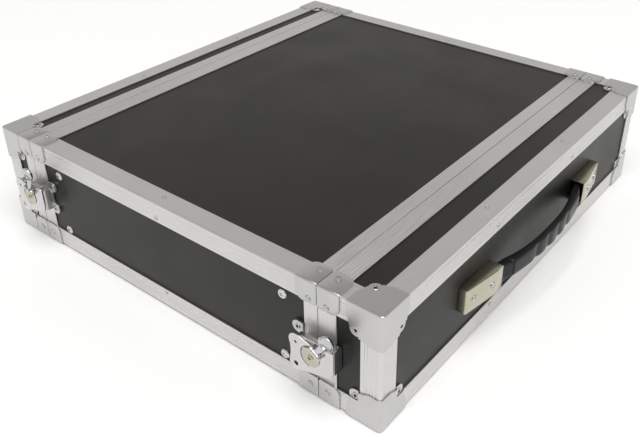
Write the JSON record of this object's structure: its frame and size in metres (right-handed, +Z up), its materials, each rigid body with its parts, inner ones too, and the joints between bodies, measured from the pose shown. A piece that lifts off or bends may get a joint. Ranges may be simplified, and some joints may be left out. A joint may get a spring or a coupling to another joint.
{
  "type": "equipment rack case",
  "caption": "Flat rack case for 19 inch gear: laminated panels, aluminium edges, steel corners, a lid at each end held by turn latches, and a strap handle.",
  "frame": {"origin": "centre of the bounding box, on the plane that the case stands on", "axes": "+Z up, -Y towards the lid with the handle, +X to the right seen from there"},
  "size_m": [0.5482, 0.517, 0.1215],
  "materials": {
    "laminate": "black laminate on plywood, satin with a fine texture",
    "extrusion": "satin anodised, finely ribbed",
    "zinc": "bright zinc plated",
    "champagne": "satin nickel plated, warm tint",
    "chrome": "polished",
    "rail_steel": "black powder coat",
    "grip_plastic": "satin moulded"
  },
  "bodies": {
    "case": {"bottom_panel": "laminate", "top_panel": "laminate", "left_panel": "laminate", "right_panel": "laminate", "bottom_left_edge_angle": "extrusion", "bottom_right_edge_angle": "extrusion", "top_left_edge_angle": "extrusion", "top_right_edge_angle": "extrusion", "body_front_rim": "extrusion", "body_rear_rim": "extrusion", "front_left_rack_rail": "rail_steel", "rear_left_rack_rail": "rail_steel", "front_right_rack_rail": "rail_steel", "rear_right_rack_rail": "rail_steel", "front_left_latch_base": "zinc", "front_right_latch_base": "zinc", "rear_left_latch_keeper": "zinc", "rear_right_latch_keeper": "zinc"},
    "front_lid": {"front_lid_face_panel": "laminate", "front_lid_side_frame": "laminate", "front_lid_rim": "extrusion", "front_lid_bottom_face_angle": "extrusion", "front_lid_top_face_angle": "extrusion", "front_lid_left_face_angle": "extrusion", "front_lid_bottom_left_corner_cap": "zinc", "front_lid_top_left_corner_cap": "zinc", "front_lid_right_face_angle": "extrusion", "front_lid_bottom_right_corner_cap": "zinc", "front_lid_top_right_corner_cap": "zinc", "handle_left_end_cap": "champagne", "handle_right_end_cap": "champagne", "front_left_latch_keeper": "zinc", "front_right_latch_keeper": "zinc"},
    "rear_lid": {"rear_lid_face_panel": "laminate", "rear_lid_side_frame": "laminate", "rear_lid_rim": "extrusion", "rear_lid_bottom_face_angle": "extrusion", "rear_lid_top_face_angle": "extrusion", "rear_lid_left_face_angle": "extrusion", "rear_lid_bottom_left_corner_cap": "zinc", "rear_lid_top_left_corner_cap": "zinc", "rear_lid_right_face_angle": "extrusion", "rear_lid_bottom_right_corner_cap": "zinc", "rear_lid_top_right_corner_cap": "zinc", "rear_left_latch_base": "zinc", "rear_right_latch_base": "zinc"},
    "handle": {"handle_grip": "grip_plastic"},
    "front_left_latch_draw_plate": {"front_left_latch_draw_plate": "zinc"},
    "front_left_latch_disc": {"front_left_latch_disc": "champagne"},
    "front_left_latch_wing": {"front_left_latch_wing": "chrome"},
    "front_right_latch_draw_plate": {"front_right_latch_draw_plate": "zinc"},
    "front_right_latch_disc": {"front_right_latch_disc": "champagne"},
    "front_right_latch_wing": {"front_right_latch_wing": "chrome"},
    "rear_left_latch_draw_plate": {"rear_left_latch_draw_plate": "zinc"},
    "rear_left_latch_disc": {"rear_left_latch_disc": "champagne"},
    "rear_left_latch_wing": {"rear_left_latch_wing": "chrome"},
    "rear_right_latch_draw_plate": {"rear_right_latch_draw_plate": "zinc"},
    "rear_right_latch_disc": {"rear_right_latch_disc": "champagne"},
    "rear_right_latch_wing": {"rear_right_latch_wing": "chrome"}
  },
  "joints": [
    {"name": "front_lid_off", "type": "slide", "parent": "case", "child": "front_lid", "axis": [0, -1, 0], "range_m": [0, 0.12]},
    {"name": "rear_lid_off", "type": "slide", "parent": "case", "child": "rear_lid", "axis": [0, 1, 0], "range_m": [0, 0.12]},
    {"name": "handle_pull", "type": "slide", "parent": "front_lid", "child": "handle", "axis": [0, -1, 0], "range_m": [0, 0.003]},
    {"name": "front_left_latch_turn", "type": "hinge", "parent": "case", "child": "front_left_latch_disc", "pos_m": [-0.2705, -0.1756, 0.05755], "axis": [-1, 0, 0], "range_deg": [0, 180]},
    {"name": "front_left_latch_draw", "type": "slide", "parent": "case", "child": "front_left_latch_draw_plate", "axis": [0, -1, 0], "range_m": [0, 0.006]},
    {"name": "front_left_latch_wing_fold", "type": "hinge", "parent": "front_left_latch_disc", "child": "front_left_latch_wing", "pos_m": [-0.2727, -0.18248, 0.06738], "axis": [0, -0.8192, -0.5736], "range_deg": [0, 160]},
    {"name": "front_right_latch_turn", "type": "hinge", "parent": "case", "child": "front_right_latch_disc", "pos_m": [0.2705, -0.1756, 0.05755], "axis": [-1, 0, 0], "range_deg": [0, 180]},
    {"name": "front_right_latch_draw", "type": "slide", "parent": "case", "child": "front_right_latch_draw_plate", "axis": [0, -1, 0], "range_m": [0, 0.006]},
    {"name": "front_right_latch_wing_fold", "type": "hinge", "parent": "front_right_latch_disc", "child": "front_right_latch_wing", "pos_m": [0.2727, -0.18248, 0.06738], "axis": [0, 0.8192, 0.5736], "range_deg": [0, 160]},
    {"name": "rear_left_latch_turn", "type": "hinge", "parent": "rear_lid", "child": "rear_left_latch_disc", "pos_m": [-0.2705, 0.2057, 0.06105], "axis": [-1, 0, 0], "range_deg": [0, 180]},
    {"name": "rear_left_latch_draw", "type": "slide", "parent": "rear_lid", "child": "rear_left_latch_draw_plate", "axis": [0, -1, 0], "range_m": [0, 0.006]},
    {"name": "rear_left_latch_wing_fold", "type": "hinge", "parent": "rear_left_latch_disc", "child": "rear_left_latch_wing", "pos_m": [-0.2727, 0.2016, 0.07233], "axis": [0, -0.9397, -0.342], "range_deg": [0, 160]},
    {"name": "rear_right_latch_turn", "type": "hinge", "parent": "rear_lid", "child": "rear_right_latch_disc", "pos_m": [0.2705, 0.2057, 0.06105], "axis": [-1, 0, 0], "range_deg": [0, 180]},
    {"name": "rear_right_latch_draw", "type": "slide", "parent": "rear_lid", "child": "rear_right_latch_draw_plate", "axis": [0, -1, 0], "range_m": [0, 0.006]},
    {"name": "rear_right_latch_wing_fold", "type": "hinge", "parent": "rear_right_latch_disc", "child": "rear_right_latch_wing", "pos_m": [0.2727, 0.2016, 0.07233], "axis": [0, 0.9397, 0.342], "range_deg": [0, 160]}
  ],
  "couplings": [
    {"joint": "front_left_latch_draw", "follows": "front_left_latch_turn", "m_per_rad": 0.0019098},
    {"joint": "front_right_latch_draw", "follows": "front_right_latch_turn", "m_per_rad": 0.0019098},
    {"joint": "rear_left_latch_draw", "follows": "rear_left_latch_turn", "m_per_rad": 0.0019098},
    {"joint": "rear_right_latch_draw", "follows": "rear_right_latch_turn", "m_per_rad": 0.0019098}
  ]
}
